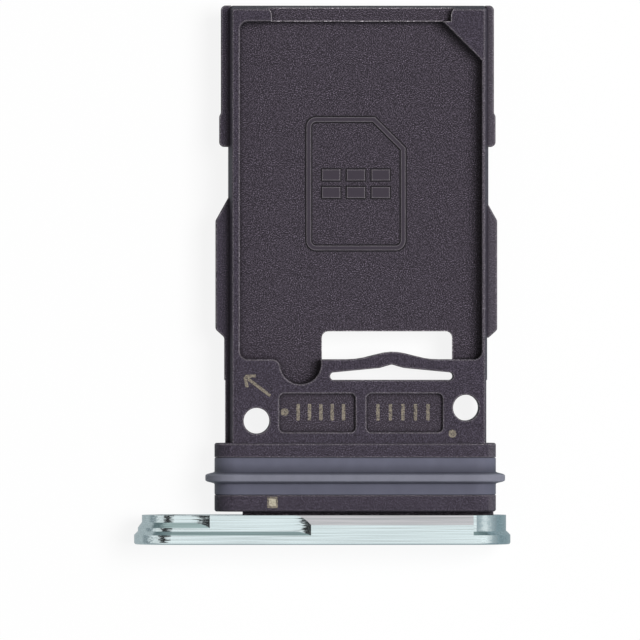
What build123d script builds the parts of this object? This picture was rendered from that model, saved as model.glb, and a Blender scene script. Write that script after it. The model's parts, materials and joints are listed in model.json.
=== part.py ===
"""Phone SIM card tray: a moulded carrier for two cards, its machined cover plate and its seal.

The origin is the centre of the cover plate's outer face. +Y is the way the tray slides into the phone,
+X runs along the plate away from the eject hole, and +Z is the side that takes the first card.
All sizes are in millimetres and all angles in degrees.
"""

import math
import os

from build123d import *

# The standard small card, and the room that its pocket gives it
card_width = 8.80
card_length = 12.30
card_thickness = 0.67
card_side_clearance = 0.075
card_end_clearance = 0.195
card_top_proud = 0.01

# Carrier round the two pockets, drafted both ways from its parting plane
floor_thickness = 0.28
rim_left = 0.28
rim_right = 0.11
tip_wall = 0.60
wall_lean = 0.15
body_corner_radius = 0.20
rim_bevel = 0.03

# Pocket corners, and the lowered middle of the rim at the tip
pocket_corner_radius = 0.30
pocket_corner_cut = 1.44
tip_relief_depth = 0.30
tip_relief_left = 1.18
tip_relief_right = 1.14
tip_relief_flare = 0.40

# Finger notch at the pocket's near end
notch_radius = 0.76
notch_from_left = 2.24
notch_setback = 0.165
notch_blend_radius = 0.30
notch_web = 0.04

# Spring strip, between the window in the floor and the slot behind the strip
window_from_right = 1.085
window_length = 1.035
window_corner_radius = 0.24
spring_crest = 0.28
spring_level_left = 0.92
spring_level_right = 0.505
spring_thickness = 0.495
slot_inset_left = 0.30
slot_overrun_right = 0.02
slot_width = 0.27
slot_corner_radius = 0.13
slot_peak_left_of_crest = 0.045
slot_shoulder = 0.175
slot_shoulder_reach = 0.45
slot_shoulder_radius = 0.35
slot_peak = 0.306
slot_peak_radius = 0.10

# Label recesses and locating holes in the heel, between the slot and the neck
recess_width = 1.43
recess_depth = 0.15
recess_gap = 0.41
recess_side_wall = 1.455
recess_slot_wall = 0.50
recess_neck_wall = 0.40
recess_corner_radius = 0.19
locating_hole_diameter = 0.96
locating_hole_inset_left = 0.62
locating_hole_inset_right = 0.59
locating_hole_left_from_neck = 0.82
locating_hole_right_from_neck = 1.305

# Guide rails at the parting plane
rail_thickness = 0.50
rail_corner_radius = 0.18
rail_bevel = 0.04
rail_gap = 2.73
upper_rail_length = 5.23
upper_rail_reach_left = 0.27
upper_rail_reach_right = 0.20
detent_length = 1.13
detent_height = 0.06
lower_rail_start_left = 0.685
lower_rail_start_right = 0.80
lower_rail_reach_left = 0.47
lower_rail_reach_right = 0.32
lead_in_angle = 29.0
lead_out_angle = 48.0
heel_rail_reach = 0.145
heel_set_in_right = 0.055
heel_narrowing = 0.035

# Neck between the carrier and the plate, with the seal's groove
neck_overhang_left = 0.505
neck_overhang_right = 0.275
neck_step = 0.07
neck_corner_radius = 0.80
neck_bevel = 0.05
neck_gap = 0.13
neck_gap_depth = 0.45
neck_foot_inset = 0.10
neck_gap_through = 1.04
neck_front_wall = 0.735
neck_rear_wall = 0.525
neck_overlap = 0.03
groove_width = 1.405
groove_depth = 0.28

# Seal
seal_clearance = 0.01
lip_from_front = 0.64
lip_height = 0.34
lip_root_width = 0.40
lip_tip_width = 0.22
lip_tip_bevel = 0.06
lip_inside_boss = 0.07

# Cover plate: flange, and the boss behind it
plate_overhang_left = 2.98
plate_overhang_right = 0.54
plate_depth = 1.085
flange_thickness = 0.35
face_edge_radius = 0.08
ledge_run = 0.14
boss_inset_side = 0.08
boss_inset_end = 0.14
eject_hole_diameter = 1.15
eject_hole_chamfer = 0.05

# Relief at the back of the boss, round the eject hole
relief_inset_end = 0.15
relief_inset_side = 0.08
relief_depth = 0.265
relief_taper = 0.20
relief_reach = 2.80
relief_end_run = 0.67

# Locating pads on the plate's two long sides, and the narrower nose of the boss beyond them
pad_length = 6.00
pad_end_inset = 0.04
pad_end_run = 0.62
pad_flat_depth = 0.38
nose_inset_side = 0.13
nose_inset_end = 0.02
nose_shoulder_angle = 20.0

# Tongue that joins the plate to the neck
tongue_width = 5.00
tongue_height = 0.50
tongue_length = 0.50
glue_gap = 0.02

# Heights that follow
pocket_depth = card_thickness - card_top_proud
body_height = 2 * pocket_depth + floor_thickness
neck_height = body_height + 2 * neck_step
boss_height = neck_height + 2 * (lip_height + lip_inside_boss)
plate_height = boss_height + 2 * boss_inset_side
relief_z = boss_height / 2 - relief_inset_side
nose_radius = boss_height / 2 - nose_inset_side
wall_draft = math.degrees(math.atan2(wall_lean, body_height / 2))

# Places across the tray that follow
pocket_width = card_width + 2 * card_side_clearance
core_width = wall_lean + rim_left + pocket_width + rim_right + wall_lean
neck_width = neck_overhang_left + core_width + neck_overhang_right
plate_length = plate_overhang_left + neck_width + plate_overhang_right
boss_length = plate_length - 2 * boss_inset_end
round_end_x = (plate_length - plate_height) / 2
neck_left = plate_overhang_left - plate_length / 2
neck_center = neck_left + neck_width / 2
core_left = neck_left + neck_overhang_left
core_right = core_left + core_width
pocket_left = core_left + wall_lean + rim_left
pocket_right = pocket_left + pocket_width
window_left = pocket_left + notch_from_left + notch_radius + notch_web
window_right = pocket_right - window_from_right
pad_right = round_end_x - pad_end_inset
pad_left = pad_right - pad_length
pad_foot_left = pad_left - pad_end_run
crest_left = window_left + spring_level_left
crest_right = window_right - spring_level_right
crest_x = (crest_left + crest_right) / 2
slot_peak_x = crest_x - slot_peak_left_of_crest
relief_end = relief_reach - plate_length / 2
relief_run_start = relief_end - relief_end_run

# Places along the tray that follow
boss_start = flange_thickness + ledge_run
groove_start = plate_depth + neck_front_wall
neck_end = groove_start + groove_width + neck_rear_wall
neck_length = neck_end - plate_depth
recess_start = neck_end + recess_neck_wall
slot_start = recess_start + recess_width + recess_slot_wall
pocket_start = slot_start + slot_width + spring_thickness
pocket_end = pocket_start + card_length + card_end_clearance
left_rail_start = pocket_start + lower_rail_start_left
right_rail_start = pocket_start + lower_rail_start_right
tray_end = pocket_end + tip_wall


def across(distance):
    """Plane square to the insertion direction, at a distance behind the plate's outer face."""
    return Plane.XZ.offset(-distance)


def neck_outline(growth, mode=Mode.ADD):
    """Outline of the neck's section in the current sketch, grown outwards all round."""
    with Locations((neck_center, 0)):
        RectangleRounded(
            neck_width + 2 * growth,
            neck_height + 2 * growth,
            neck_corner_radius + growth,
            mode=mode,
        )


def crest_line():
    """Free edge of the spring strip, from window side to window side: one soft crest on a level line."""
    level = (1, 0)
    Line((window_left, pocket_start), (crest_left, pocket_start))
    Spline(
        (crest_left, pocket_start),
        (crest_x, pocket_start + spring_crest),
        (crest_right, pocket_start),
        tangents=(level, level, level),
    )
    Line((crest_right, pocket_start), (window_right, pocket_start))


def pocket_outline(corner_cut):
    """Card pocket in the current sketch: the spring's crest is in its near edge, one far corner is cut."""
    with BuildLine() as outline:
        crest_line()
        Polyline(
            (window_right, pocket_start),
            (pocket_right, pocket_start),
            (pocket_right, pocket_end - corner_cut),
            (pocket_right - corner_cut, pocket_end),
            (pocket_left, pocket_end),
            (pocket_left, pocket_start),
            (window_left, pocket_start),
        )
    make_face(outline.edges())


def rail_outlines(side, wall, upper_reach, lower_reach, lower_start):
    """The two guide rails along one wall, in the current sketch; side is -1 on the left, 1 on the right."""
    root = wall - side * rim_right
    upper_start = tray_end - upper_rail_length
    upper_edge = wall + side * upper_reach
    detent_edge = upper_edge + side * detent_height
    with BuildLine() as upper:
        Polyline(
            (root, upper_start),
            (detent_edge, upper_start),
            (detent_edge, upper_start + detent_length),
            (upper_edge, upper_start + detent_length + 2 * detent_height),
            (upper_edge, tray_end),
            (root, tray_end),
            close=True,
        )
    make_face(upper.edges())

    lower_end = upper_start - rail_gap
    lower_edge = wall + side * lower_reach
    lead_in = lower_reach / math.tan(math.radians(lead_in_angle))
    lead_out = lower_reach / math.tan(math.radians(lead_out_angle))
    with BuildLine() as lower:
        Polyline(
            (root, lower_start),
            (wall, lower_start),
            (lower_edge, lower_start + lead_out),
            (lower_edge, lower_end),
            (wall, lower_end + lead_in),
            (root, lower_end + lead_in),
            close=True,
        )
    make_face(lower.edges())


def upper_rim(body):
    """Flat face on top of the carrier's walls."""
    level_faces = body.faces().filter_by(Axis.Z)
    return level_faces.filter_by(lambda f: abs(f.center().Z - body_height / 2) < 0.001)[0]


# Inner part of the boss, which tapers in behind the flange and then runs straight to the back
taper_end = plate_depth - relief_depth
taper_start = taper_end - relief_taper
with BuildPart() as boss_core:
    with BuildSketch(across(taper_start)):
        SlotOverall(boss_length, boss_height)
    with BuildSketch(across(taper_end)):
        SlotOverall(boss_length - 2 * relief_inset_end, boss_height - 2 * relief_inset_side)
    loft(ruled=True)
    with BuildSketch(across(taper_end)):
        SlotOverall(boss_length - 2 * relief_inset_end, boss_height - 2 * relief_inset_side)
    extrude(amount=-relief_depth)


# Relief round the eject hole, which bares that inner part and sweeps up to the boss beside the neck
with BuildPart() as relief:
    with BuildSketch(across(taper_start)):
        with BuildLine():
            Polyline(
                (relief_end, boss_height / 2),
                (relief_end, plate_height / 2),
                (-plate_length / 2, plate_height / 2),
                (-plate_length / 2, -plate_height / 2),
                (relief_end, -plate_height / 2),
                (relief_end, -boss_height / 2),
            )
            TangentArc((relief_run_start, -relief_z), (relief_end, -boss_height / 2), tangent=(1, 0))
            Line((relief_run_start, -relief_z), (relief_run_start, relief_z))
            TangentArc((relief_run_start, relief_z), (relief_end, boss_height / 2), tangent=(1, 0))
        make_face()
    extrude(amount=taper_start - plate_depth)
    add(boss_core.part, mode=Mode.SUBTRACT)


# Cut round the far end of the boss, which leaves a round nose with a concave shoulder beside each pad
nose_x = boss_length / 2 - nose_inset_end - nose_radius
shoulder_x = nose_x + nose_radius * math.sin(math.radians(nose_shoulder_angle))
shoulder_z = nose_radius * math.cos(math.radians(nose_shoulder_angle))
with BuildPart() as nose_cut:
    with BuildSketch(across(boss_start)):
        with Locations((pad_right, 0)):
            Rectangle(plate_length, 2 * plate_height, align=(Align.MIN, Align.CENTER))
        with BuildLine():
            for side in (1, -1):
                TangentArc(
                    (shoulder_x, side * shoulder_z),
                    (pad_right, side * plate_height / 2),
                    tangent=(-shoulder_z, side * (shoulder_x - nose_x)),
                )
            ThreePointArc((shoulder_x, shoulder_z), (nose_x + nose_radius, 0), (shoulder_x, -shoulder_z))
            Line((pad_right, plate_height / 2), (pad_right, -plate_height / 2))
        make_face(mode=Mode.SUBTRACT)
    extrude(amount=boss_start - plate_depth)


# Cover plate: flange with a rounded face, and a ledge that slopes from it to the boss
with BuildPart() as cover_plate:
    with BuildSketch(across(0)):
        SlotOverall(plate_length, plate_height)
    extrude(amount=-flange_thickness)
    fillet(cover_plate.faces().sort_by(Axis.Y)[0].edges(), face_edge_radius)
    with BuildSketch(across(flange_thickness)):
        SlotOverall(plate_length, plate_height)
    with BuildSketch(across(boss_start)):
        SlotOverall(boss_length, boss_height)
    loft(ruled=True)

    # Boss that enters the phone's opening
    with BuildSketch(across(boss_start)):
        SlotOverall(boss_length, boss_height)
    extrude(amount=boss_start - plate_depth)

    # Pads flush with the flange, which sweep down to the boss, with a bevel that leads them in
    for side in (1, -1):
        top = side * plate_height / 2
        foot = side * boss_height / 2
        with BuildSketch(across(face_edge_radius)):
            with BuildLine():
                TangentArc((pad_foot_left, foot), (pad_left, top), tangent=(1, 0))
                Polyline(
                    (pad_left, top),
                    (pad_right, top),
                    (pad_right, 0),
                    (pad_foot_left, 0),
                    (pad_foot_left, foot),
                )
            make_face()
        extrude(amount=face_edge_radius - plate_depth)
        with BuildSketch(Plane.YZ.offset(pad_foot_left)):
            with BuildLine():
                Polyline(
                    (flange_thickness + pad_flat_depth, top),
                    (plate_depth, top),
                    (plate_depth, foot),
                    close=True,
                )
            make_face()
        extrude(amount=pad_right - pad_foot_left, mode=Mode.SUBTRACT)
    add(relief.part, mode=Mode.SUBTRACT)
    add(nose_cut.part, mode=Mode.SUBTRACT)

    # Eject hole, concentric with the flange's round end
    with BuildSketch(across(0)):
        with Locations((-round_end_x, 0)):
            Circle(eject_hole_diameter / 2)
    extrude(amount=-plate_depth, mode=Mode.SUBTRACT)
    chamfer(cover_plate.faces().sort_by(Axis.Y)[0].inner_wires()[0].edges(), eject_hole_chamfer)

    # Tongue into the neck
    with BuildSketch(across(plate_depth)):
        with Locations((neck_center, 0)):
            Rectangle(tongue_width, tongue_height)
    extrude(amount=-tongue_length)
cover_plate.part.label = "cover_plate"


# Carrier block of the tray body, widest at its parting plane
core_start = neck_end - wall_lean - neck_overlap
with BuildPart() as carrier:
    with BuildSketch(Plane.XY):
        with Locations((core_left + core_width / 2, (core_start + tray_end) / 2)):
            RectangleRounded(core_width, tray_end - core_start, body_corner_radius)
    extrude(amount=body_height / 2, both=True, taper=wall_draft)
    chamfer(carrier.faces().filter_by(Axis.Z).edges(), rim_bevel)


# Guide rails on both walls of the carrier, and the ledge that carries the left one on to the neck
with BuildPart() as rails:
    with BuildSketch(Plane.XY) as rail_plan:
        rail_outlines(-1, core_left, upper_rail_reach_left, lower_rail_reach_left, left_rail_start)
        rail_outlines(1, core_right, upper_rail_reach_right, lower_rail_reach_right, right_rail_start)
        with Locations((core_left - heel_rail_reach, core_start)):
            Rectangle(
                heel_rail_reach + rim_right,
                left_rail_start + lower_rail_reach_left - core_start,
                align=(Align.MIN, Align.MIN),
            )
        rail_corners = rail_plan.vertices().filter_by(
            lambda v: v.Y > neck_end and not core_left - 0.001 < v.X < core_right + 0.001
        )
        fillet(rail_corners, rail_corner_radius)
    extrude(amount=rail_thickness / 2, both=True)
    chamfer(rails.faces().filter_by(Axis.Z).edges(), rail_bevel)


# Tray body: neck with the seal's groove, a foot that keeps a narrow gap to the plate, and the tongue's slot
with BuildPart() as tray_body:
    with BuildSketch(across(plate_depth + neck_gap)):
        neck_outline(0)
    extrude(amount=-(neck_length - neck_gap))
    chamfer(tray_body.faces().filter_by(Axis.Y).edges(), neck_bevel)
    with BuildSketch(across(plate_depth)):
        with Locations((neck_center, 0)):
            Rectangle(neck_width - 2 * neck_foot_inset, neck_height - 2 * neck_gap_depth)
        with Locations((neck_left, 0)):
            Rectangle(2 * neck_gap_through, neck_height, mode=Mode.SUBTRACT)
    extrude(amount=-neck_gap)
    with BuildSketch(across(groove_start)):
        neck_outline(groove_depth)
        neck_outline(-groove_depth, mode=Mode.SUBTRACT)
    extrude(amount=-groove_width, mode=Mode.SUBTRACT)
    with BuildSketch(across(plate_depth)):
        with Locations((neck_center, 0)):
            Rectangle(tongue_width + 2 * glue_gap, tongue_height + 2 * glue_gap)
    extrude(amount=-(tongue_length + glue_gap), mode=Mode.SUBTRACT)
    add(carrier.part)
    add(rails.part)

    # Heel, set in on the right up to the lower rail, and narrower on both sides up to the slot
    with BuildSketch(Plane.XY):
        with Locations((core_right - heel_set_in_right, neck_end)):
            Rectangle(wall_lean, right_rail_start - neck_end, align=(Align.MIN, Align.MIN))
        with Locations((core_right - heel_set_in_right - heel_narrowing, neck_end)):
            Rectangle(wall_lean, slot_start - neck_end, align=(Align.MIN, Align.MIN))
        with Locations((core_left - heel_rail_reach, neck_end)):
            Rectangle(heel_narrowing, slot_start - neck_end, align=(Align.MIN, Align.MIN))
    extrude(amount=body_height / 2, both=True, mode=Mode.SUBTRACT)

    # Card pocket on the upper side, with the finger notch in its near edge
    with BuildSketch(Plane.XY.offset(floor_thickness / 2)) as pocket:
        pocket_outline(pocket_corner_cut)
        with Locations((pocket_left + notch_from_left, pocket_start - notch_setback)):
            Circle(notch_radius)
        near_edge = pocket.vertices().filter_by(lambda v: abs(v.Y - pocket_start) < 0.001)
        fillet(near_edge.sort_by(Axis.X)[1], notch_blend_radius)
        square_corners = pocket.vertices().group_by(Axis.X)[0]
        square_corners += pocket.vertices().group_by(Axis.X)[-1].sort_by(Axis.Y)[:1]
        fillet(square_corners, pocket_corner_radius)
    extrude(amount=pocket_depth, mode=Mode.SUBTRACT)
    chamfer(upper_rim(tray_body).inner_wires()[0].edges(), rim_bevel)

    # Plain pocket for a second card on the lower side
    with BuildSketch(Plane.XY.offset(-floor_thickness / 2)):
        pocket_outline(pocket_corner_radius)
    extrude(amount=-pocket_depth, mode=Mode.SUBTRACT)

    # Window through the floor and slot through the heel, which leave the spring strip between them
    with BuildSketch(Plane.XY) as window:
        with BuildLine():
            crest_line()
            Polyline(
                (window_right, pocket_start),
                (window_right, pocket_start + window_length),
                (window_left, pocket_start + window_length),
                (window_left, pocket_start),
            )
        make_face()
        fillet(window.vertices().group_by(Axis.Y)[-1], window_corner_radius)
    extrude(amount=body_height / 2, both=True, mode=Mode.SUBTRACT)
    slot_left = window_left + slot_inset_left
    slot_right = window_right + slot_overrun_right
    slot_end = slot_start + slot_width
    shoulder_y = slot_end + slot_shoulder
    with BuildSketch(Plane.XY) as slot:
        with BuildLine():
            Polyline(
                (slot_left, slot_start),
                (slot_right, slot_start),
                (slot_right, slot_end),
                (slot_peak_x + slot_shoulder_reach, shoulder_y),
                (slot_peak_x, slot_end + slot_peak),
                (slot_peak_x - slot_shoulder_reach, shoulder_y),
                (slot_left, slot_end),
                close=True,
            )
        make_face()
        fillet(slot.vertices().group_by(Axis.Y)[-1], slot_peak_radius)
        fillet(slot.vertices().filter_by(lambda v: abs(v.Y - shoulder_y) < 0.001), slot_shoulder_radius)
        fillet(slot.vertices().filter_by(lambda v: v.Y < slot_end + 0.001), slot_corner_radius)
    extrude(amount=body_height / 2, both=True, mode=Mode.SUBTRACT)

    # Label recesses and locating holes
    recess_length = (pocket_width - 2 * recess_side_wall - recess_gap) / 2
    with BuildSketch(Plane.XY.offset(body_height / 2)):
        with Locations(((pocket_left + pocket_right) / 2, recess_start + recess_width / 2)):
            with GridLocations(recess_length + recess_gap, 0, 2, 1):
                RectangleRounded(recess_length, recess_width, recess_corner_radius)
    extrude(amount=-recess_depth, mode=Mode.SUBTRACT)
    with BuildSketch(Plane.XY):
        with Locations(
            (pocket_left + locating_hole_inset_left, neck_end + locating_hole_left_from_neck),
            (pocket_right - locating_hole_inset_right, neck_end + locating_hole_right_from_neck),
        ):
            Circle(locating_hole_diameter / 2)
    extrude(amount=body_height / 2, both=True, mode=Mode.SUBTRACT)
    small_outlines = upper_rim(tray_body).inner_wires().sort_by(SortBy.LENGTH)[:-1]
    chamfer(small_outlines.edges(), rim_bevel)

    # Lowered middle of the rim at the tip, which flares out towards the tip's face
    with BuildSketch(Plane.XY.offset(body_height / 2)) as tip_relief:
        with Locations((pocket_left + tip_relief_left, pocket_end)):
            Rectangle(
                pocket_width - tip_relief_left - tip_relief_right,
                2 * tip_wall,
                align=(Align.MIN, Align.MIN),
            )
        with Locations(((pocket_left + pocket_right) / 2, tray_end)):
            Rectangle(core_width, tip_wall, align=(Align.CENTER, Align.MIN))
        inner_corners = tip_relief.vertices().filter_by(
            lambda v: abs(v.Y - tray_end) < 0.001 and pocket_left < v.X < pocket_right
        )
        fillet(inner_corners, tip_relief_flare)
    extrude(amount=-tip_relief_depth, mode=Mode.SUBTRACT)
tray_body.part.label = "tray_body"


# Seal: a band that fills the groove, and a lip that tapers to a rounded tip
with BuildPart() as seal_ring:
    seal_start = groove_start + seal_clearance
    seal_width = groove_width - 2 * seal_clearance
    lip_middle = groove_start + lip_from_front
    lip_profile = (
        (lip_root_width / 2, 0),
        (lip_tip_width / 2, lip_height - lip_tip_bevel),
        (lip_tip_width / 2 - lip_tip_bevel, lip_height),
    )
    near_side = [(lip_middle - half_width, growth) for half_width, growth in lip_profile]
    far_side = [(lip_middle + half_width, growth) for half_width, growth in reversed(lip_profile)]
    for distance, growth in near_side + far_side:
        with BuildSketch(across(distance)):
            neck_outline(growth)
    loft(ruled=True)
    with BuildSketch(across(seal_start)):
        neck_outline(0)
    extrude(amount=-seal_width)
    with BuildSketch(across(seal_start)):
        neck_outline(seal_clearance - groove_depth)
    extrude(amount=-seal_width, mode=Mode.SUBTRACT)
seal_ring.part.label = "seal_ring"


os.makedirs("parts", exist_ok=True)
for piece in (cover_plate, tray_body, seal_ring):
    export_step(piece.part, f"parts/{piece.part.label}.step")
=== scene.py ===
import json
import math

import bpy
import numpy as np
from bpy.props import FloatProperty, FloatVectorProperty, PointerProperty
from mathutils import Matrix, Vector


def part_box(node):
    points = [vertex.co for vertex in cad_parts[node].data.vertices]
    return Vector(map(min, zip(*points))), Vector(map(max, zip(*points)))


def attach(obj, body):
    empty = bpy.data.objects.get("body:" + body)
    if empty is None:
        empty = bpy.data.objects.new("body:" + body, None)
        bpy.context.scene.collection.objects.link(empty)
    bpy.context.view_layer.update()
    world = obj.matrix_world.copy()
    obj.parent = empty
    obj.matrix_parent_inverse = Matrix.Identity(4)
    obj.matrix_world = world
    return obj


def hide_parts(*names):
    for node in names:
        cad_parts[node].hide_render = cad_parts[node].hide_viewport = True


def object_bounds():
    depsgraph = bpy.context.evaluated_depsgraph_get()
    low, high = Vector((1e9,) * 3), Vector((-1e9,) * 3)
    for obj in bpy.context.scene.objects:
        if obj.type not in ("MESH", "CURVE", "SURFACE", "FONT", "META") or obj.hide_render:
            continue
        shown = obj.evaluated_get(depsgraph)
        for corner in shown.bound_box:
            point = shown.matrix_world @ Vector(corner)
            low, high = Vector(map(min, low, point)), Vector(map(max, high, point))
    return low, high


bl_info = {
    "name": "SIM card tray",
    "version": (1, 0, 0),
    "blender": (4, 5, 0),
    "location": "View3D > Sidebar > Tray",
    "description": "Finishes, soft seal, moulded signs and etched marks of a card tray, and its studio",
    "category": "Object",
}

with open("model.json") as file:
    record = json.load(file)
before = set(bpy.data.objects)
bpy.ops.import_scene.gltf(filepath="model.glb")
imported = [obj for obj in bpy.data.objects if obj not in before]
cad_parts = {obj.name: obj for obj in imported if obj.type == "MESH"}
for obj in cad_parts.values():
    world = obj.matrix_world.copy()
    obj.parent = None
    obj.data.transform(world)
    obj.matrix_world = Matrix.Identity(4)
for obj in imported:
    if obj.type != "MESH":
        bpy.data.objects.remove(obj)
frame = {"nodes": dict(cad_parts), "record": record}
CAD_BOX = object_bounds()

MM = 0.001
SENSOR_WIDTH_MM = 36.0
FLOOR_HALF_SIDE = 1.5
SEATS = {mount["name"]: mount["pos_m"] for mount in frame["record"]["mounts"]}

# Where handling has changed the body's skin, where the rails beside the right wall are painted paler as
# lit, and where the edges' painted highlight is weaker on the neck, from where each change starts to where
# it is
# whole: heights from the middle plane, distances from the pocket's middle line, and distances from the
# plate's face
SKIN_HEIGHT = (0.70 * MM, 0.74 * MM)
BESIDE_POCKET = (4.46 * MM, 4.50 * MM)
BESIDE_WALL = (4.70 * MM, 4.74 * MM)
PAST_NECK = (3.3 * MM, 3.7 * MM)

# Sizes of the patterns, what the plastics do to light, and how strongly the body's pits show where its skin
# is fresh and where it is handled
MILLING_LINE = 0.04 * MM
PIGMENT_CLOUD = 0.5 * MM
SILICONE_GRAIN = 0.06 * MM
LASER_DOT = 0.045 * MM
ETCH_RISE = 0.003 * MM
PIT_CONTRAST = (5.1, 3.3)
NYLON_IOR = 1.53
NYLON_SPECULAR = 0.2
SILICONE_IOR = 1.41


def linear(code):
    """Linear colour of an sRGB hex code."""
    srgb = np.array([int(code[i:i + 2], 16) for i in (1, 3, 5)]) / 255
    return tuple(np.where(srgb <= 0.04045, srgb / 12.92, ((srgb + 0.055) / 1.055) ** 2.4))


def length(name, millimetres, description):
    """Property that holds a length, with its default written in millimetres."""
    return FloatProperty(
        name=name, description=description, default=millimetres * MM, min=0, precision=6, unit="LENGTH",
    )


def colour(name, code, description):
    """Property that holds a colour, with its default written as an sRGB hex code."""
    return FloatVectorProperty(
        name=name, description=description, default=linear(code), size=3, min=0, max=1, subtype="COLOR",
    )


def share(name, default, description):
    """Property that holds a number from 0 to 1."""
    return FloatProperty(
        name=name, description=description, default=default, min=0, max=1, subtype="FACTOR",
    )


class TrayFinish(bpy.types.PropertyGroup):
    """Colours of the four materials, and the size of their grain."""

    plastic: colour("Plastic", "#38333b", "Glass-filled nylon, dyed a purplish black")
    plastic_worn: colour("Plastic worn", "#3a353f", "The same, on the outer skin, smoothed by handling")
    # Painted highlight: the pale colour painted along outer edges
    plastic_highlighted: colour("Plastic rubbed", "#807b80", "The same, along rubbed edges")
    plastic_roughness: share("Plastic roughness", 0.55, "Spark-eroded moulds leave an even matte skin")
    plastic_grain: length("Plastic grain", 0.036, "Width of one pit of the spark-eroded skin")
    plastic_edge: length("Plastic edge", 0.03, "Radius of the soft edges that a mould leaves")
    # Painted highlight: how far from an outer edge the pale colour reaches
    plastic_highlight_reach: length("Plastic rub", 0.045, "How far from an outer edge the plastic is rubbed")
    # Painted shade: how far the darkening painted into inner corners reaches
    plastic_corner_shade: length("Plastic grime", 0.20, "How far the grime in inner corners reaches")
    aluminium: colour("Aluminium", "#d2e0e2", "Anodised aluminium, dyed a pale icy blue")
    face_roughness: share("Face roughness", 0.42, "Bead blasting scatters what the outer face reflects")
    side_roughness: share("Side roughness", 0.17, "The milled sides keep soft but clear reflections")
    aluminium_grain: length("Aluminium grain", 0.05, "Width of one dent that a bead leaves")
    silicone: colour("Silicone", "#565765", "Blue-grey moulded silicone")
    silicone_lip: colour("Silicone lip", "#767783", "The lip's thin edge, where light comes through")
    silicone_roughness: share("Silicone roughness", 0.48, "Satin, as a polished mould leaves it")
    etch: colour("Etched plastic", "#91897a", "Plastic that a laser has foamed to a tan tone")
    etch_pale: colour("Etched pale", "#bfb8a4", "The same, where the laser went over it twice")


class TraySeal(bpy.types.PropertyGroup):
    """Sizes of the seal's section that its box doesn't give."""

    lip_height: length("Lip height", 0.34, "How far the lip stands out from the band")
    lip_half_width: length("Lip half-width", 0.178, "From the lip's middle to halfway down its flank")
    band_edge: length("Band edge", 0.05, "Radius of the band's rounded edges")
    band_depth: length("Band depth", 0.27, "How far the band reaches into its groove")
    corner_radius: length("Corner radius", 0.80, "Radius of the neck's corners, under the seal")


class TraySigns(bpy.types.PropertyGroup):
    """Sizes of the card sign on the pocket's floor."""

    card_left: length("Card left", 0.613, "From the middle plane to the sign's left edge, leftwards")
    card_width: length("Card width", 3.716, "Width of the outline, over its line")
    card_start: length("Card start", 10.855, "From the plate's face to the near edge of the outline")
    card_length: length("Card length", 4.978, "Length of the outline, over its line")
    card_corner: length("Card corner", 0.39, "Radius of the outline's square corners")
    cut_corner: length("Cut's corner", 0.10, "Radius of the two corners where the cut ends")
    card_cut: length("Cut", 1.15, "Length that the cut takes off both sides of the far right corner")
    line: length("Line", 0.22, "Width of the raised line")
    rise: length("Rise", 0.04, "Height of the line above the floor")
    wall: length("Wall", 0.03, "Width of the line's sloping wall")
    skirt: length("Skirt", 0.05, "Width of the grime along a wall's foot")
    # Painted shade: the skirt is the band of darkening painted along a raised wall's foot
    chip_width: length("Chip width", 2.55, "Width of the six contact fields together")
    chip_length: length("Chip length", 1.10, "Length of the six contact fields together")
    chip_gap: length("Chip gap", 0.20, "Gap between contact fields")


class TrayStage(bpy.types.PropertyGroup):
    """Camera, lights and floor."""

    frame_width: length("Frame width", 23.70, "Width of what the camera sees, at the tray's middle plane")
    frame_x: FloatProperty(
        name="Frame X", description="Middle of the picture, across the tray",
        default=-0.083 * MM, precision=6, unit="LENGTH",
    )
    frame_y: length("Frame Y", 8.30, "Middle of the picture, along the tray")
    camera_distance: length("Camera distance", 400, "A long lens keeps the parallel edges parallel")
    camera_tilt: FloatProperty(
        name="Camera tilt", description="Lean of the camera to the left of straight above",
        default=math.radians(0.8), subtype="ANGLE",
    )
    key_power: FloatProperty(
        name="Key light", description="Soft light from the upper right", default=2.6, unit="POWER",
    )
    key_size: length("Key size", 240, "Side of the soft light")
    key_distance: length("Key distance", 500, "Distance of the soft light from the tray")
    sky: share("Sky", 0.30, "Share of the tent's brightness that lights matte surfaces")
    roof: share("Roof", 1.0, "Brightness of the tent straight above")
    horizon: colour("Horizon", "#97a1a6", "Tent at the height of the floor")
    far_wall: colour("Far wall", "#eedadc", "Tent's wall on the side of the tip, high up")
    far_foot: colour("Far foot", "#b6c2c0", "The same wall, low down")
    floor: colour("Floor", "#f4f4f4", "Pale matte table top")
    floor_white: share("Floor white", 0.88, "Share of plain white in what the camera sees of the floor")
    floor_left: colour("Floor left", "#c2c7c9", "Floor in mirrors, left of the tray")
    floor_right: colour("Floor right", "#95a4aa", "Floor in mirrors, right of the tray, in its shade")


def add_node(tree, kind, settings=None, inputs=None):
    """Adds a node: settings are its own attributes, and inputs are values or the sockets that feed it."""
    node = tree.nodes.new(kind)
    for key, value in (settings or {}).items():
        setattr(node, key, value)
    for socket, value in (inputs or {}).items():
        if isinstance(value, bpy.types.NodeSocket):
            tree.links.new(value, node.inputs[socket])
        else:
            node.inputs[socket].default_value = value
    return node


def new_material(name):
    """Empty node material, with its output and the object coordinates that its patterns read."""
    material = bpy.data.materials.new(name)
    material.use_nodes = True
    tree = material.node_tree
    tree.nodes.clear()
    output = add_node(tree, "ShaderNodeOutputMaterial")
    place = add_node(tree, "ShaderNodeTexCoord").outputs["Object"]
    return material, tree, output, place


def grid_faces(rows, columns, close_rows, close_columns):
    """Quads over a grid of points, row by row; a closed direction joins its last line to its first."""
    index = np.arange(rows * columns).reshape(rows, columns)
    if close_rows:
        index = np.concatenate([index, index[:1]], axis=0)
    if close_columns:
        index = np.concatenate([index, index[:, :1]], axis=1)
    corners = (index[:-1, :-1], index[1:, :-1], index[1:, 1:], index[:-1, 1:])
    return np.stack(corners, axis=-1).reshape(-1, 4)


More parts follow.
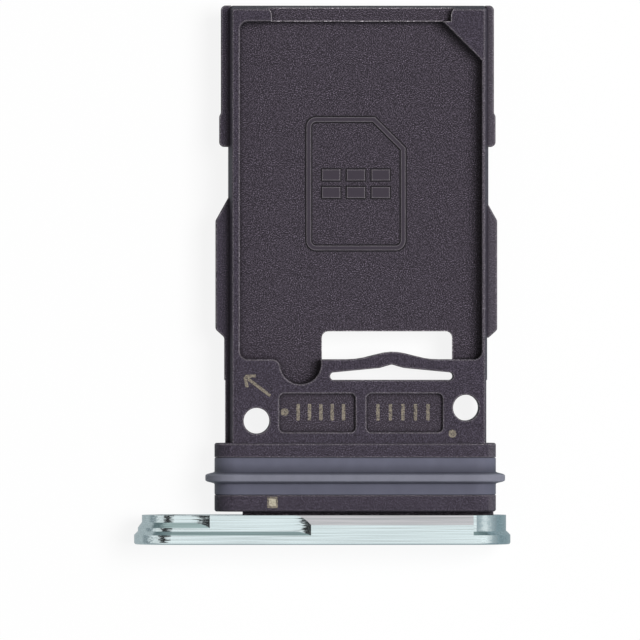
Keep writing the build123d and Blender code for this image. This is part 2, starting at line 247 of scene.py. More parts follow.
def piece_of(name, sheets, material, close_rows=False, close_columns=False):
    """One mesh object of several grids of points, smooth shaded, which rides on the tray."""
    points, faces, count = [], [], 0
    for sheet in sheets:
        faces.append(grid_faces(*sheet.shape[:2], close_rows, close_columns) + count)
        points.append(sheet.reshape(-1, 3))
        count += len(points[-1])
    mesh = bpy.data.meshes.new(name)
    mesh.from_pydata(np.concatenate(points).tolist(), [], np.concatenate(faces).tolist())
    mesh.polygons.foreach_set("use_smooth", np.ones(len(mesh.polygons), dtype=bool))
    mesh.materials.append(material)
    mesh.update()
    piece = bpy.data.objects.new(name, mesh)
    bpy.context.scene.collection.objects.link(piece)
    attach(piece, "root")
    return piece


def surface_height(node, x, y):
    """Height of the upper side of a CAD node under a point."""
    found, place, _, _ = frame["nodes"][node].ray_cast(Vector((x, y, 1.0)), Vector((0, 0, -1)))
    if not found:
        raise ValueError(f"{node} has no surface under {x}, {y}")
    return place.z


def offset_outline(angles, distances, corners, offsets, steps=10, least_radius=0.02 * MM):
    """Outline of a convex shape with rounded corners, at several offsets from it.

    The shape's sides are given by the angles of their outward normals and their distances from the
    origin. A corner is an arc about the meeting point of its two sides, both moved inwards by the arc's
    radius, which is the same for all corners or given for each. Outwards the radius grows with the
    offset; inwards it shrinks to a least value and the sides carry on.
    Returns points of shape (offsets, outline, 2).
    """
    normals = np.stack([np.cos(angles), np.sin(angles)], axis=-1)
    pairs = np.stack([normals, np.roll(normals, -1, axis=0)], axis=1)
    sides = np.stack([distances, np.roll(distances, -1)], axis=1)
    meeting = np.linalg.solve(pairs, sides[..., None])[..., 0]
    inward = np.linalg.solve(pairs, np.ones_like(sides)[..., None])[..., 0]
    turns = (np.roll(angles, -1) - angles) % (2 * math.pi)
    sweep = angles[:, None] + turns[:, None] * np.linspace(0, 1, steps)
    arms = np.stack([np.cos(sweep), np.sin(sweep)], axis=-1)
    corners = np.broadcast_to(corners, len(angles))
    radii = np.maximum(corners[None, :] + offsets[:, None], least_radius)[:, :, None, None]
    insets = radii - offsets[:, None, None, None]
    points = meeting[None, :, None, :] - insets * inward[None, :, None, :] + radii * arms[None]
    return points.reshape(len(offsets), -1, 2)


def box_sides(left, right, near, far):
    """Normals' angles and distances of a rectangle's four sides, for offset_outline."""
    return np.radians([0, 90, 180, 270]), np.array([right, far, -left, -near])


def raised(outline, heights):
    """Points of an outline at several offsets, each offset at its own height."""
    level = np.broadcast_to(heights[:, None, None], outline.shape[:2] + (1,))
    return np.concatenate([outline, level], axis=-1)


def soft_pad(center, half_width, half_length, turn, roundness, thickness, steps=11):
    """Thin pad with soft corners, as a square grid.

    Each side of the square bows in by the square of the other coordinate, times the roundness, so that 1
    gives an ellipse and 0 a rectangle. The top is level and falls to the base along the tenth power of
    the distance from the middle. The grid's lines are spaced by a sine, so that they crowd at the edges.
    """
    line = np.sin(np.linspace(-math.pi / 2, math.pi / 2, steps))
    u, v = np.meshgrid(line, line, indexing="ij")
    x = half_width * u * np.sqrt(1 - roundness * v ** 2 / 2)
    y = half_length * v * np.sqrt(1 - roundness * u ** 2 / 2)
    z = thickness * (1 - 1.5 * np.maximum(abs(u), abs(v)) ** 10)
    cosine, sine = math.cos(turn), math.sin(turn)
    turned = np.stack([cosine * x - sine * y, sine * x + cosine * y, z], axis=-1)
    return np.array(center) + turned


def spark_eroded_nylon(finish):
    """Glass-filled nylon from a spark-eroded mould: matte, pitted all over, with soft edges.

    The pits are drawn about as wide as one pixel of the picture, which is as fine as it can show. Outer
    edges get a painted highlight and inner corners a painted shade. Raised signs say where the mould was
    polished and left no pits, in the attribute "polish", and where a painted shade lies along their feet,
    in
    "grime".
    """
    material, tree, output, place = new_material("spark_eroded_nylon")
    pits = add_node(
        tree, "ShaderNodeTexNoise", {},
        {"Vector": place, "Scale": 1 / finish.plastic_grain, "Detail": 0.0},
    ).outputs["Fac"]
    # Handling has smoothed the outer skin, higher than the recesses' floors or beside the pocket
    spot = add_node(tree, "ShaderNodeSeparateXYZ", {}, {"Vector": place})
    height = add_node(tree, "ShaderNodeMath", {"operation": "ABSOLUTE"}, {0: spot.outputs["Z"]})
    offset = add_node(
        tree, "ShaderNodeMath", {"operation": "SUBTRACT"},
        {0: spot.outputs["X"], 1: SEATS["card_seat_upper"][0]},
    ).outputs[0]
    aside = add_node(tree, "ShaderNodeMath", {"operation": "ABSOLUTE"}, {0: offset})
    high = add_node(
        tree, "ShaderNodeMapRange", {},
        {"Value": height.outputs[0], "From Min": SKIN_HEIGHT[0], "From Max": SKIN_HEIGHT[1]},
    )
    outside = add_node(
        tree, "ShaderNodeMapRange", {},
        {"Value": aside.outputs[0], "From Min": BESIDE_POCKET[0], "From Max": BESIDE_POCKET[1]},
    )
    worn = add_node(
        tree, "ShaderNodeMath", {"operation": "MAXIMUM"},
        {0: high.outputs["Result"], 1: outside.outputs["Result"]},
    ).outputs[0]
    depth = add_node(
        tree, "ShaderNodeMapRange", {},
        {"Value": worn, "To Min": PIT_CONTRAST[0], "To Max": PIT_CONTRAST[1]},
    ).outputs["Result"]
    polish = add_node(tree, "ShaderNodeAttribute", {"attribute_name": "polish"}).outputs["Fac"]
    rest = add_node(tree, "ShaderNodeMath", {"operation": "SUBTRACT"}, {0: 1.0, 1: polish}).outputs[0]
    depth = add_node(tree, "ShaderNodeMath", {"operation": "MULTIPLY"}, {0: depth, 1: rest}).outputs[0]
    # Dye and light vary from pit to pit: dark in the pits, paler on the ridges between them
    level = add_node(tree, "ShaderNodeMath", {"operation": "SUBTRACT"}, {0: pits, 1: 0.5}).outputs[0]
    power = add_node(tree, "ShaderNodeMath", {"operation": "MULTIPLY"}, {0: level, 1: depth}).outputs[0]
    tone = add_node(tree, "ShaderNodeMath", {"operation": "EXPONENT"}, {0: power}).outputs[0]
    # Painted shade: corners that are hidden from the sky are painted darker, by ambient occlusion
    openness = add_node(
        tree, "ShaderNodeAmbientOcclusion", {"samples": 8}, {"Distance": finish.plastic_corner_shade},
    ).outputs["AO"]
    painted_light = add_node(
        tree, "ShaderNodeMapRange", {},
        {"Value": openness, "From Min": 0.40, "From Max": 0.95, "To Min": 0.30},
    ).outputs["Result"]
    # Painted shade along the feet of the raised signs, darkest at the foot and fading up their walls
    grime = add_node(tree, "ShaderNodeAttribute", {"attribute_name": "grime"}).outputs["Fac"]
    unshaded = add_node(
        tree, "ShaderNodeMapRange", {}, {"Value": grime, "To Min": 1.0, "To Max": 0.12},
    ).outputs["Result"]
    # Soft edges with a painted highlight, paler along them, which show as thin lines along the rims; looked
    # at from inside the solid, an outer edge is where other faces are near
    edges = add_node(
        tree, "ShaderNodeBevel", {"samples": 8}, {"Radius": finish.plastic_edge},
    ).outputs["Normal"]
    solid = add_node(
        tree, "ShaderNodeAmbientOcclusion", {"samples": 8, "inside": True, "only_local": True},
        {"Distance": finish.plastic_highlight_reach},
    ).outputs["AO"]
    highlighted = add_node(
        tree, "ShaderNodeMapRange", {}, {"Value": solid, "From Min": 0.96, "From Max": 0.78},
    ).outputs["Result"]
    # The neck's edges, before the opening's wall, get less of the painted highlight
    neck_highlight = add_node(
        tree, "ShaderNodeMapRange", {},
        {"Value": spot.outputs["Y"], "From Min": PAST_NECK[0], "From Max": PAST_NECK[1], "To Min": 0.35},
    ).outputs["Result"]
    highlighted = add_node(
        tree, "ShaderNodeMath", {"operation": "MULTIPLY"}, {0: highlighted, 1: neck_highlight},
    ).outputs[0]
    # Painted light: the rails that stand out from the right wall, on the key light's side, are painted
    # paler
    lit_rails = add_node(
        tree, "ShaderNodeMapRange", {},
        {"Value": offset, "From Min": BESIDE_WALL[0], "From Max": BESIDE_WALL[1], "To Max": 0.14},
    ).outputs["Result"]
    highlighted = add_node(tree, "ShaderNodeMath", {"operation": "MAXIMUM"}, {0: highlighted, 1: lit_rails}).outputs[0]
    skin = add_node(
        tree, "ShaderNodeMix", {"data_type": "RGBA"},
        {"Factor": worn, "A": (*finish.plastic, 1), "B": (*finish.plastic_worn, 1)},
    ).outputs["Result"]
    pigment = add_node(
        tree, "ShaderNodeMix", {"data_type": "RGBA"},
        {"Factor": highlighted, "A": skin, "B": (*finish.plastic_highlighted, 1)},
    ).outputs["Result"]
    # Painted sheen: the polished tops are painted up to 15% paler
    shine = add_node(
        tree, "ShaderNodeMapRange", {}, {"Value": polish, "To Min": 1.0, "To Max": 1.15},
    ).outputs["Result"]
    # The pigment is scaled by the pits' tone, the painted corner shade, the painted shade at the signs'
    # feet and the painted sheen
    dyed = pigment
    for factor in (tone, painted_light, unshaded, shine):
        dyed = add_node(
            tree, "ShaderNodeVectorMath", {"operation": "SCALE"}, {0: dyed, "Scale": factor},
        ).outputs["Vector"]
    bump = add_node(
        tree, "ShaderNodeBump", {},
        {"Height": pits, "Distance": 0.02 * MM, "Strength": 0.4, "Normal": edges},
    )
    shader = add_node(
        tree, "ShaderNodeBsdfPrincipled", {},
        {
            "Base Color": dyed,
            "Roughness": finish.plastic_roughness,
            "IOR": NYLON_IOR,
            "Specular IOR Level": NYLON_SPECULAR,
            "Normal": bump.outputs["Normal"],
        },
    )
    tree.links.new(shader.outputs["BSDF"], output.inputs["Surface"])
    return material


def blasted_anodised_aluminium(finish):
    """Aluminium, milled and anodised, with its outer face blasted with fine beads.

    The sides keep soft clear reflections with fine milling lines along the plate; the face that points
    along -Y scatters them and sparkles.
    """
    material, tree, output, place = new_material("blasted_anodised_aluminium")
    facing = add_node(
        tree, "ShaderNodeSeparateXYZ", {},
        {"Vector": add_node(tree, "ShaderNodeTexCoord").outputs["Normal"]},
    )
    face = add_node(
        tree, "ShaderNodeMapRange", {},
        {"Value": facing.outputs["Y"], "From Min": -0.75, "From Max": -0.95},
    ).outputs["Result"]
    dents = add_node(
        tree, "ShaderNodeTexNoise", {},
        {"Vector": place, "Scale": 1 / finish.aluminium_grain, "Detail": 1.0},
    ).outputs["Fac"]
    # Milling lines, a hundred times as long as they are wide
    along = add_node(
        tree, "ShaderNodeVectorMath", {"operation": "MULTIPLY"}, {0: place, 1: (0.01, 1.0, 1.0)},
    )
    lines = add_node(
        tree, "ShaderNodeTexNoise", {},
        {"Vector": along.outputs["Vector"], "Scale": 1 / MILLING_LINE, "Detail": 1.0},
    ).outputs["Fac"]
    grain = add_node(
        tree, "ShaderNodeMix", {"data_type": "FLOAT"}, {"Factor": face, "A": lines, "B": dents},
    ).outputs["Result"]
    shade = add_node(
        tree, "ShaderNodeMapRange", {},
        {"Value": grain, "From Min": 0.25, "From Max": 0.75, "To Min": 0.84, "To Max": 1.12},
    )
    dyed = add_node(
        tree, "ShaderNodeVectorMath", {"operation": "SCALE"},
        {0: tuple(finish.aluminium), "Scale": shade.outputs["Result"]},
    ).outputs["Vector"]
    rough = add_node(
        tree, "ShaderNodeMix", {"data_type": "FLOAT"},
        {"Factor": face, "A": finish.side_roughness, "B": finish.face_roughness},
    )
    depth = add_node(
        tree, "ShaderNodeMix", {"data_type": "FLOAT"}, {"Factor": face, "A": 0.06, "B": 0.40},
    )
    # Each milling line leans its own way along the plate, which frays the ends of the reflections
    lean = add_node(
        tree, "ShaderNodeMapRange", {},
        {"Value": lines, "From Min": 0.35, "From Max": 0.65, "To Min": 0.0, "To Max": 0.14},
    )
    sideways = add_node(tree, "ShaderNodeCombineXYZ", {}, {"X": lean.outputs["Result"]})
    leaning = add_node(
        tree, "ShaderNodeVectorMath", {"operation": "ADD"},
        {0: add_node(tree, "ShaderNodeNewGeometry").outputs["Normal"], 1: sideways.outputs["Vector"]},
    )
    tilted = add_node(
        tree, "ShaderNodeVectorMath", {"operation": "NORMALIZE"}, {0: leaning.outputs["Vector"]},
    )
    bump = add_node(
        tree, "ShaderNodeBump", {},
        {
            "Height": grain,
            "Distance": 0.01 * MM,
            "Strength": depth.outputs["Result"],
            "Normal": tilted.outputs["Vector"],
        },
    )
    shader = add_node(
        tree, "ShaderNodeBsdfPrincipled", {},
        {
            "Base Color": dyed,
            "Metallic": 1.0,
            "Roughness": rough.outputs["Result"],
            "Normal": bump.outputs["Normal"],
        },
    )
    tree.links.new(shader.outputs["BSDF"], output.inputs["Surface"])
    return material


def moulded_silicone(finish):
    """Moulded silicone: satin and even, darker in the band and paler towards the lip's thin edge.

    The attribute "tone" holds its painted light: a painted shade towards the lip's foot and painted
    highlights on the lip's edges.
    """
    material, tree, output, place = new_material("moulded_silicone")
    lip = add_node(tree, "ShaderNodeAttribute", {"attribute_name": "lip"})
    pigment = add_node(
        tree, "ShaderNodeMix", {"data_type": "RGBA"},
        {"Factor": lip.outputs["Fac"], "A": (*finish.silicone, 1), "B": (*finish.silicone_lip, 1)},
    )
    # Soft clouds of pigment
    clouds = add_node(
        tree, "ShaderNodeTexNoise", {}, {"Vector": place, "Scale": 1 / PIGMENT_CLOUD, "Detail": 3.0},
    )
    shade = add_node(
        tree, "ShaderNodeMapRange", {},
        {
            "Value": clouds.outputs["Fac"],
            "From Min": 0.3,
            "From Max": 0.7,
            "To Min": 0.94,
            "To Max": 1.06,
        },
    ).outputs["Result"]
    # Painted shade and highlight across the seal, read from the attribute "tone"
    painted_light = add_node(tree, "ShaderNodeAttribute", {"attribute_name": "tone"}).outputs["Fac"]
    dyed = pigment.outputs["Result"]
    for factor in (shade, painted_light):
        dyed = add_node(
            tree, "ShaderNodeVectorMath", {"operation": "SCALE"}, {0: dyed, "Scale": factor},
        ).outputs["Vector"]
    skin = add_node(
        tree, "ShaderNodeTexNoise", {}, {"Vector": place, "Scale": 1 / SILICONE_GRAIN, "Detail": 1.0},
    )
    bump = add_node(
        tree, "ShaderNodeBump", {},
        {"Height": skin.outputs["Fac"], "Distance": 0.003 * MM, "Strength": 0.4},
    )
    shader = add_node(
        tree, "ShaderNodeBsdfPrincipled", {},
        {
            "Base Color": dyed,
            "Roughness": finish.silicone_roughness,
            "IOR": SILICONE_IOR,
            "Normal": bump.outputs["Normal"],
        },
    )
    tree.links.new(shader.outputs["BSDF"], output.inputs["Surface"])
    return material


def laser_etched_nylon(name, tan, plain):
    """Nylon that a laser has foamed: chalky tan, with gaps where the beam's dots didn't meet."""
    material, tree, output, place = new_material(name)
    dots = add_node(
        tree, "ShaderNodeTexNoise", {}, {"Vector": place, "Scale": 1 / LASER_DOT, "Detail": 2.0},
    )
    burnt = add_node(
        tree, "ShaderNodeMapRange", {},
        {"Value": dots.outputs["Fac"], "From Min": 0.30, "From Max": 0.60},
    )
    coloured = add_node(
        tree, "ShaderNodeMix", {"data_type": "RGBA"},
        {"Factor": burnt.outputs["Result"], "A": (*plain, 1), "B": (*tan, 1)},
    )
    bump = add_node(
        tree, "ShaderNodeBump", {},
        {"Height": dots.outputs["Fac"], "Distance": 0.01 * MM, "Strength": 0.5},
    )
    shader = add_node(
        tree, "ShaderNodeBsdfPrincipled", {},
        {
            "Base Color": coloured.outputs["Result"],
            "Roughness": 0.8,
            "IOR": NYLON_IOR,
            "Specular IOR Level": NYLON_SPECULAR,
            "Normal": bump.outputs["Normal"],
        },
    )
    tree.links.new(shader.outputs["BSDF"], output.inputs["Surface"])
    return material


def dress(node, material):
    """Gives a CAD node its finish."""
    slots = frame["nodes"][node].data.materials
    slots.clear()
    slots.append(material)


class TRAY_OT_body(bpy.types.Operator):
    """Gives the moulded body its plastic"""

    bl_idname = "tray.body"
    bl_label = "Finish the body"

    def execute(self, context):
        dress("tray_body", spark_eroded_nylon(context.scene.tray_finish))
        return {"FINISHED"}


class TRAY_OT_plate(bpy.types.Operator):
    """Gives the cover plate its anodised metal"""

    bl_idname = "tray.plate"
    bl_label = "Finish the cover plate"

    def execute(self, context):
        dress("cover_plate", blasted_anodised_aluminium(context.scene.tray_finish))
        return {"FINISHED"}


def seal_surface(seal):
    """Points of the soft seal, with how far up the lip each row is, from 0 to 1, and its painted light and
    shade.

    The seal's section is carried round the neck's rounded rectangle. Across the seal, the lip's height
    falls off from its middle as the exponential of minus the sixth power of the distance over its
    half-width, which gives a level top, steep flanks and a soft foot. The band's edges are rounded by a
    quarter circle each, and the section closes inside the groove.
    """
    low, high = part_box("seal_ring")
    middle = (low + high) / 2
    lip_y = SEATS["seal_lip"][1]
    half_width = high.x - middle.x - seal.lip_height
    half_height = high.z - middle.z - seal.lip_height

    near, far = low.y - lip_y, high.y - lip_y
    run = np.linspace(0, 1, 60) ** 1.3
    across = np.concatenate([(near + seal.band_edge) * run[:0:-1], (far - seal.band_edge) * run])
    lip = seal.lip_height * np.exp(-((np.abs(across) / seal.lip_half_width) ** 6))
    turn = np.linspace(0, math.pi / 2, 7)[1:]
    edge_out = seal.band_edge * (1 - np.sin(turn))
    edge_down = -seal.band_edge * (1 - np.cos(turn))
    inside = np.array([-seal.band_depth])
    section_y = np.concatenate([across, far - edge_out, [far], [near], (near + edge_out)[::-1]])
    section_out = np.concatenate([lip, edge_down, inside, inside, edge_down[::-1]])

    outline = offset_outline(
        *box_sides(-half_width, half_width, -half_height, half_height),
        seal.corner_radius, section_out, steps=20,
    )
    points = np.empty(outline.shape[:2] + (3,))
    points[..., 0] = middle.x + outline[..., 0]
    points[..., 1] = lip_y + section_y[:, None]
    points[..., 2] = middle.z + outline[..., 1]
    # Painted shade at the lip's foot, most of it on the far side, and painted highlights on the lip's own
    # edges and towards the band's edges: places across the seal, each with its tone
    foot = seal.lip_half_width
    light_stops = {
        near: 1.09,
        near / 2: 1.0,
        -foot: 0.80,
        -0.7 * foot: 1.20,
        -0.4 * foot: 1.0,
        0.4 * foot: 1.0,
        0.7 * foot: 1.20,
        1.3 * foot: 0.64,
        far - 0.2 * MM: 1.18,
        far: 1.18,
    }
    painted_light = np.interp(section_y, list(light_stops), list(light_stops.values()))
    return points, np.clip(section_out / seal.lip_height, 0, 1), painted_light


class TRAY_OT_seal(bpy.types.Operator):
    """Makes the soft seal round the neck"""

    bl_idname = "tray.seal"
    bl_label = "Make the seal"

    def execute(self, context):
        points, height, painted_light = seal_surface(context.scene.tray_seal)
        silicone = moulded_silicone(context.scene.tray_finish)
        piece = piece_of(
            "soft_seal", [points], silicone, close_rows=True, close_columns=True,
        )
        for name, rows in (("lip", height), ("tone", painted_light)):
            attribute = piece.data.attributes.new(name, "FLOAT", "POINT")
            attribute.data.foreach_set("value", np.repeat(rows, points.shape[1]))
        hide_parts("seal_ring")
        return {"FINISHED"}


def line_section(signs):
    """Section across one edge of a raised shape: offsets from the edge, heights, polish and painted shade.

    From the outside, a skirt of painted shade lies just above the floor and ends under it; then a smooth
    step climbs the wall to a level top, and the painted shade fades over both.
    """
    skirt = np.array([1.0, 0.9, 0.6, 0.3])
    climb = np.append(np.linspace(0, 1, 7), 1.0)
    sunk = 0.002 * MM
    offsets = np.concatenate([signs.skirt * skirt, -signs.wall * climb])
    offsets[-1] -= signs.wall / 2
    step = climb ** 2 * (3 - 2 * climb)
    heights = np.concatenate([[-sunk], np.full(3, sunk), sunk + (signs.rise - sunk) * step])
    polish = np.concatenate([1 - skirt, np.ones_like(climb)])
    grime = np.concatenate([1 - skirt, 1 - climb ** 2])
    return offsets, heights, polish, grime


def card_outline(signs):
    """Raised line of the card sign, with its polish and painted shade.

    A section that goes up, over and down again is carried round a rounded rectangle with one corner cut.
    """
    left, near = -signs.card_left, signs.card_start
    right, far = left + signs.card_width, near + signs.card_length
    angles, distances = box_sides(left, right, near, far)
    angles = np.insert(angles, 1, math.radians(45))
    distances = np.insert(distances, 1, (right + far - signs.card_cut) / math.sqrt(2))
    corners = np.full(5, signs.card_corner)
    corners[:2] = signs.cut_corner
    offsets, *rows = line_section(signs)
    both = np.concatenate([offsets, -signs.line - offsets[::-1]])
    heights, polish, grime = (np.concatenate([row, row[::-1]]) for row in rows)
    outline = offset_outline(angles, distances, corners, both)
    points = raised(outline, SEATS["card_seat_upper"][2] + heights)
    return points, *(np.repeat(row, outline.shape[1]) for row in (polish, grime))


def contact_field(x, y, half_width, half_length, signs):
    """One raised contact field on the floor, as a grid of points, with its polish and painted shade.

    The grid's lines follow the section's offsets on both sides, and each point takes the section's values
    at the line that is nearer to the edge.
    """
    offsets, *rows = line_section(signs)
    level = np.arange(len(offsets))
    level = np.concatenate([level, level[::-1]])
    out = np.concatenate([-offsets, offsets[::-1]])
    side = np.repeat([-1, 1], len(offsets))
    across, along = np.meshgrid(np.arange(len(out)), np.arange(len(out)), indexing="ij")
    nearest = np.minimum(level[across], level[along])
    heights, polish, grime = (row[nearest] for row in rows)
    points = np.stack([
        x + side[across] * half_width + out[across],
        y + side[along] * half_length + out[along],
        SEATS["card_seat_upper"][2] + heights,
    ], axis=-1)
    return points, polish.ravel(), grime.ravel()


def contact_fields(signs):
    """Six contact fields, three across and two along."""
    middle_x = signs.card_width / 2 - signs.card_left
    middle_y = signs.card_start + signs.card_length / 2
    field_width = (signs.chip_width - 2 * signs.chip_gap) / 3
    field_length = (signs.chip_length - signs.chip_gap) / 2
    return [
        contact_field(
            middle_x + column * (field_width + signs.chip_gap),
            middle_y + row * (field_length + signs.chip_gap),
            field_width / 2, field_length / 2, signs,
        )
        for column in (-1, 0, 1) for row in (-0.5, 0.5)
    ]


class TRAY_OT_card_sign(bpy.types.Operator):
    """Makes the card sign moulded into the pocket's floor"""

    bl_idname = "tray.card_sign"
    bl_label = "Make the card sign"

    def execute(self, context):
        signs = context.scene.tray_signs
        nylon = frame["nodes"]["tray_body"].data.materials[0]
        for name, parts, closed in (
            ("card_sign", [card_outline(signs)], True),
            ("card_contacts", contact_fields(signs), False),
        ):
            sheets, *rows = zip(*parts)
            piece = piece_of(name, sheets, nylon, close_columns=closed)
            for key, row in zip(("polish", "grime"), rows):
                attribute = piece.data.attributes.new(key, "FLOAT", "POINT")
                attribute.data.foreach_set("value", np.concatenate(row))
        return {"FINISHED"}


def etched_bar(x, y, half_width, half_length, turn=0.0, roundness=0.2):
    """Pad on the body's upper side, with its place and sizes in millimetres."""
    z = surface_height("tray_body", x * MM, y * MM)
    return soft_pad(
        (x * MM, y * MM, z), half_width * MM, half_length * MM, math.radians(turn), roundness, ETCH_RISE,
    )


class TRAY_OT_etched_marks(bpy.types.Operator):
    """Makes the small marks that a laser etched into the plastic"""

    bl_idname = "tray.etched_marks"
    bl_label = "Make the etched marks"

    def execute(self, context):
        finish = context.scene.tray_finish
        tan = laser_etched_nylon("laser_etched_nylon", finish.etch, finish.plastic)
        pale = laser_etched_nylon("laser_etched_nylon_pale", finish.etch_pale, finish.etch)
        # Arrow beside the notch, with two barbs that lead back from its tip
        sheets = [etched_bar(-2.38, 5.84, 0.06, 0.60, turn=-127)]
        barbs = ((-2.664, 6.224, -87), (-2.828, 6.007, -167))
        sheets += [etched_bar(x, y, 0.06, 0.21, turn=turn) for x, y, turn in barbs]
        # Tally bars and a dot in the two recesses, a dot and a framed square outside them
        sheets.append(etched_bar(-1.40, 4.893, 0.148, 0.148, roundness=1.0))
        sheets += [etched_bar(x, 4.89, 0.065, 0.32) for x in np.linspace(-0.90, 0.78, 5)]
        sheets += [etched_bar(x, 4.89, 0.065, 0.32) for x in np.linspace(2.05, 3.90, 5)]
        sheets.append(etched_bar(4.80, 4.10, 0.15, 0.15, roundness=1.0))
        square_place = (-1.85, 1.56)
        sheets.append(etched_bar(*square_place, 0.205, 0.22))
        piece_of("etched_marks", sheets, tan)
        square = etched_bar(*square_place, 0.13, 0.14)
        square[..., 2] += ETCH_RISE
        piece_of("etched_square", [square], pale)
        return {"FINISHED"}


class TRAY_OT_stage(bpy.types.Operator):
    """Makes the floor, the lights, the surroundings and the camera"""

    bl_idname = "tray.stage"
    bl_label = "Make the stage"

    def execute(self, context):
        stage = context.scene.tray_stage
        context.scene.view_settings.view_transform = "Standard"
        make_floor(stage)
        make_sky(context.scene, stage)
        make_key(context.scene, stage)
        make_camera(context.scene, stage)
        return {"FINISHED"}


def seen_directly(path):
    """Socket that is 1 where the ray comes from the camera or through glass."""
    return add_node(
        path.id_data, "ShaderNodeMath", {"operation": "MAXIMUM"},
        {0: path.outputs["Is Camera Ray"], 1: path.outputs["Is Transmission Ray"]},
    ).outputs[0]


def make_floor(stage):
    """Flat square under the tray's lowest point, which the camera sees as nearly white, with a shadow."""
    mesh = bpy.data.meshes.new("floor")
    line = np.linspace(-FLOOR_HALF_SIDE, FLOOR_HALF_SIDE, 3)
    x, y = np.meshgrid(line, line, indexing="ij")
    points = np.stack([x, y, np.full_like(x, CAD_BOX[0].z)], axis=-1)
    mesh.from_pydata(points.reshape(-1, 3).tolist(), [], grid_faces(3, 3, False, False).tolist())
    floor = bpy.data.objects.new("floor", mesh)
    bpy.context.scene.collection.objects.link(floor)
    material, tree, output, place = new_material("pale_table_top")
    matte = add_node(tree, "ShaderNodeBsdfDiffuse", {}, {"Color": (*stage.floor, 1)})
    white = add_node(tree, "ShaderNodeEmission", {}, {"Color": (1, 1, 1, 1), "Strength": 1.0})
    # In mirrors it dims from left to right, as far as the plate reaches and a little beyond
    reach = 12 * MM
    across = add_node(tree, "ShaderNodeSeparateXYZ", {}, {"Vector": place}).outputs["X"]
    dimmed = add_node(
        tree, "ShaderNodeMapRange", {}, {"Value": across, "From Min": -reach, "From Max": reach},
    )
    tint = add_node(
        tree, "ShaderNodeMix", {"data_type": "RGBA"},
        {"Factor": dimmed.outputs["Result"], "A": (*stage.floor_left, 1), "B": (*stage.floor_right, 1)},
    )
    mirrored = add_node(
        tree, "ShaderNodeEmission", {}, {"Color": tint.outputs["Result"], "Strength": 1.0},
    )
    path = add_node(tree, "ShaderNodeLightPath")
    part = add_node(
        tree, "ShaderNodeMath", {"operation": "MULTIPLY"}, {0: seen_directly(path), 1: stage.floor_white},
    )
    seen = add_node(
        tree, "ShaderNodeMixShader", {},
        {0: part.outputs[0], 1: matte.outputs["BSDF"], 2: white.outputs["Emission"]},
    )
    mixed = add_node(
        tree, "ShaderNodeMixShader", {},
        {0: path.outputs["Is Glossy Ray"], 1: seen.outputs[0], 2: mirrored.outputs["Emission"]},
    )
    tree.links.new(mixed.outputs[0], output.inputs["Surface"])
    mesh.materials.append(material)


def make_sky(scene, stage):
    """White light tent, as mirrors see it and as the fill light of matte surfaces.

    Its foot is dim, its right side is the brighter one, and its far wall is tinted and dims towards its
    foot. In mirrors the camera shows as a dark disc, left of straight above. Matte surfaces get a share
    of the whole; the camera itself, were it to look past the floor, sees plain white.
    """
    world = bpy.data.worlds.new("light_tent")
    world.use_nodes = True
    tree = world.node_tree
    tree.nodes.clear()
    direction = add_node(tree, "ShaderNodeTexCoord").outputs["Generated"]
    part = add_node(tree, "ShaderNodeSeparateXYZ", {}, {"Vector": direction})
    white, foot, far = np.ones(3), np.array(stage.horizon), np.array(stage.far_wall)
    low_wall = foot + 0.13 * (white - foot)
    # Colours of the walls by the direction's height, and of the far wall by how far it points to the tip
    stops = {
        "Z": ((0.0, foot), (0.32, low_wall), (0.68, white), (1.0, stage.roof * white)),
        "Y": ((0.0, white), (0.12, white), (0.30, far), (0.68, np.array(stage.far_foot))),
    }
    tints = []
    for axis, steps in stops.items():
        ramp = add_node(tree, "ShaderNodeValToRGB", {}, {"Fac": part.outputs[axis]})
        ramp.color_ramp.interpolation = "EASE"
        elements = ramp.color_ramp.elements
        elements[-1].position = steps[-1][0]
        for place, _ in steps[1:-1]:
            elements.new(place)
        for element, (_, tint) in zip(elements, steps):
            element.color = (*tint, 1)
        tints.append(ramp.outputs["Color"])
    walls = add_node(tree, "ShaderNodeVectorMath", {"operation": "MULTIPLY"}, {0: tints[0], 1: tints[1]})
    side = add_node(
        tree, "ShaderNodeMapRange", {},
        {"Value": part.outputs["X"], "From Min": -1.0, "From Max": 1.0, "To Min": 0.90, "To Max": 1.15},
    )
    # Camera: a disc about a line 16.5 degrees left of straight above, whose soft edge starts 11 degrees
    # from that line and ends at 15.5 degrees; the edge is given as the cosines of these
    disc_middle = (-0.284, 0.0, 0.959)
    edge_start, edge_end = 0.9816, 0.9636
    towards_camera = add_node(
        tree, "ShaderNodeVectorMath", {"operation": "DOT_PRODUCT"}, {0: direction, 1: disc_middle},
    ).outputs["Value"]
    open_sky = add_node(
        tree, "ShaderNodeMapRange", {"interpolation_type": "SMOOTHSTEP"},
        {"Value": towards_camera, "From Min": edge_start, "From Max": edge_end, "To Min": 0.02},
    )
    path = add_node(tree, "ShaderNodeLightPath")
    level = add_node(
        tree, "ShaderNodeMapRange", {},
        {"Value": path.outputs["Is Glossy Ray"], "To Min": stage.sky, "To Max": 1.0},
    )
    lit = walls.outputs["Vector"]
    for factor in (side, open_sky, level):
        lit = add_node(
            tree, "ShaderNodeVectorMath", {"operation": "SCALE"},
            {0: lit, "Scale": factor.outputs["Result"]},
        ).outputs["Vector"]
    seen = add_node(
        tree, "ShaderNodeMix", {"data_type": "RGBA"},
        {"Factor": seen_directly(path), "A": lit, "B": (1, 1, 1, 1)},
    )
    background = add_node(
        tree, "ShaderNodeBackground", {}, {"Color": seen.outputs["Result"], "Strength": 1.0},
    )
    output = add_node(tree, "ShaderNodeOutputWorld")
    tree.links.new(background.outputs["Background"], output.inputs["Surface"])
    scene.world = world


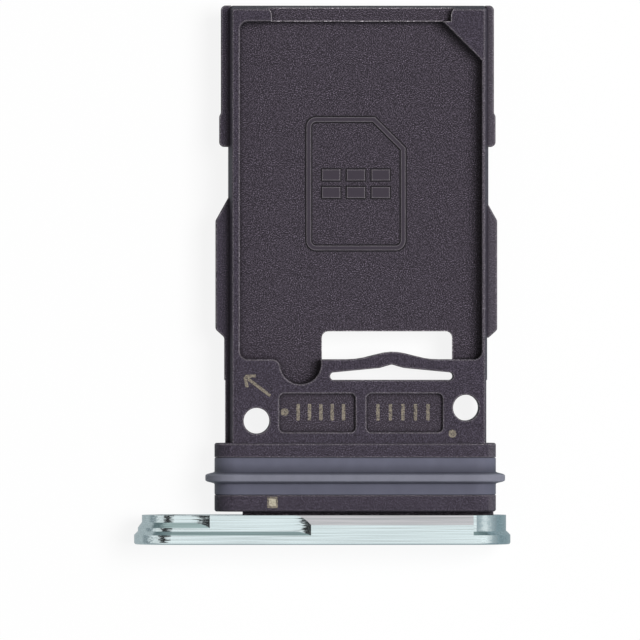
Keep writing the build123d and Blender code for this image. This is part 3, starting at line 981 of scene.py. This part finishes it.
def make_key(scene, stage):
    """Broad square light, 28 degrees from straight above, on the right and a little towards the tip."""
    light = bpy.data.lights.new("key", "AREA")
    light.shape = "SQUARE"
    light.size = stage.key_size
    light.energy = stage.key_power
    key = bpy.data.objects.new("key", light)
    towards = Vector((0.52, 0.14, 1.0)).normalized()
    middle = Vector((stage.frame_x, stage.frame_y, 0))
    key.matrix_world = Matrix.Translation(middle + towards * stage.key_distance) @ (
        towards.to_track_quat("Z", "Y").to_matrix().to_4x4()
    )
    # Mirrors show the tent instead
    key.visible_glossy = False
    scene.collection.objects.link(key)


def make_camera(scene, stage):
    """Long lens above the tray, leaning to the left; the picture's upper edge is towards the tip."""
    lens = bpy.data.cameras.new("camera")
    lens.sensor_width = SENSOR_WIDTH_MM
    lens.lens = SENSOR_WIDTH_MM * stage.camera_distance / stage.frame_width
    lens.clip_start = 0.01
    camera = bpy.data.objects.new("camera", lens)
    tilt = Matrix.Rotation(-stage.camera_tilt, 4, "Y")
    camera.matrix_world = tilt @ Matrix.Translation((stage.frame_x, stage.frame_y, stage.camera_distance))
    scene.collection.objects.link(camera)
    scene.camera = camera


class TRAY_PT_panel(bpy.types.Panel):
    """Lists the tray's pieces and their sizes and colours"""

    bl_idname = "TRAY_PT_panel"
    bl_label = "SIM card tray"
    bl_space_type = "VIEW_3D"
    bl_region_type = "UI"
    bl_category = "Tray"

    def draw(self, context):
        for operator in OPERATORS:
            self.layout.operator(operator.bl_idname)
        for name in GROUPS:
            group = getattr(context.scene, name)
            box = self.layout.box()
            for key in group.bl_rna.properties.keys():
                if key not in ("rna_type", "name"):
                    box.prop(group, key)


OPERATORS = (
    TRAY_OT_body,
    TRAY_OT_plate,
    TRAY_OT_seal,
    TRAY_OT_card_sign,
    TRAY_OT_etched_marks,
    TRAY_OT_stage,
)
GROUPS = {
    "tray_finish": TrayFinish,
    "tray_seal": TraySeal,
    "tray_signs": TraySigns,
    "tray_stage": TrayStage,
}


def register():
    for cls in (*GROUPS.values(), *OPERATORS, TRAY_PT_panel):
        bpy.utils.register_class(cls)
    for name, group in GROUPS.items():
        setattr(bpy.types.Scene, name, PointerProperty(type=group))


def unregister():
    for name in GROUPS:
        delattr(bpy.types.Scene, name)
    for cls in (TRAY_PT_panel, *reversed(OPERATORS), *GROUPS.values()):
        bpy.utils.unregister_class(cls)


def main():
    register()
    bpy.ops.tray.body()
    bpy.ops.tray.plate()
    bpy.ops.tray.seal()
    bpy.ops.tray.card_sign()
    bpy.ops.tray.etched_marks()
    bpy.ops.tray.stage()


if __name__ == "__main__":
    main()
